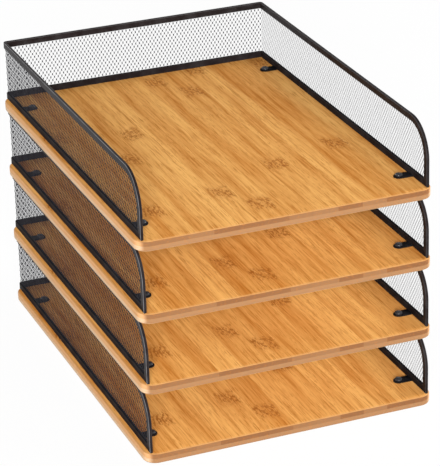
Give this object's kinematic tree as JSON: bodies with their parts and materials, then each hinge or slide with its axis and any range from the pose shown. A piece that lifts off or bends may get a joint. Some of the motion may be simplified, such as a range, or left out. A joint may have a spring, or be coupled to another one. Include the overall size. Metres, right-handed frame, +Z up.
{
  "type": "letter tray stack",
  "caption": "Stack of open-front letter trays: bamboo boards with low three-sided walls of black expanded steel in folded strips, each tray resting on the rims of the one below.",
  "frame": {"origin": "middle of the lowest board's underside, at the object's base", "axes": "+Z up, +Y from the open fronts to the back walls, +X to the right seen from the front"},
  "size_m": [0.25, 0.345, 0.244],
  "materials": {
    "bamboo": "satin lacquered bamboo laminate, grain front to back",
    "mesh_steel": "black powder-coated expanded steel",
    "strip_steel": "black powder coat, satin",
    "screw_steel": "black oxide, semi-gloss"
  },
  "bodies": {
    "tray_1": {"bamboo_board_1": "bamboo", "mesh_back_1": "mesh_steel", "mesh_left_1": "mesh_steel", "mesh_right_1": "mesh_steel", "rim_back_1": "strip_steel", "rim_left_1": "strip_steel", "rim_right_1": "strip_steel", "rail_back_1": "strip_steel", "rail_left_1": "strip_steel", "rail_right_1": "strip_steel", "mounting_tabs_1": "strip_steel", "tab_screws_1": "screw_steel"},
    "tray_2": {"bamboo_board_2": "bamboo", "mesh_back_2": "mesh_steel", "mesh_left_2": "mesh_steel", "mesh_right_2": "mesh_steel", "rim_back_2": "strip_steel", "rim_left_2": "strip_steel", "rim_right_2": "strip_steel", "rail_back_2": "strip_steel", "rail_left_2": "strip_steel", "rail_right_2": "strip_steel", "mounting_tabs_2": "strip_steel", "tab_screws_2": "screw_steel"},
    "tray_3": {"bamboo_board_3": "bamboo", "mesh_back_3": "mesh_steel", "mesh_left_3": "mesh_steel", "mesh_right_3": "mesh_steel", "rim_back_3": "strip_steel", "rim_left_3": "strip_steel", "rim_right_3": "strip_steel", "rail_back_3": "strip_steel", "rail_left_3": "strip_steel", "rail_right_3": "strip_steel", "mounting_tabs_3": "strip_steel", "tab_screws_3": "screw_steel"},
    "tray_4": {"bamboo_board_4": "bamboo", "mesh_back_4": "mesh_steel", "mesh_left_4": "mesh_steel", "mesh_right_4": "mesh_steel", "rim_back_4": "strip_steel", "rim_left_4": "strip_steel", "rim_right_4": "strip_steel", "rail_back_4": "strip_steel", "rail_left_4": "strip_steel", "rail_right_4": "strip_steel", "mounting_tabs_4": "strip_steel", "tab_screws_4": "screw_steel"}
  },
  "joints": [
    {"name": "tray_2_lift", "type": "slide", "parent": "tray_1", "child": "tray_2", "axis": [0, 0, 1], "range_m": [0, 0.09]},
    {"name": "tray_3_lift", "type": "slide", "parent": "tray_2", "child": "tray_3", "axis": [0, 0, 1], "range_m": [0, 0.09]},
    {"name": "tray_4_lift", "type": "slide", "parent": "tray_3", "child": "tray_4", "axis": [0, 0, 1], "range_m": [0, 0.09]}
  ]
}
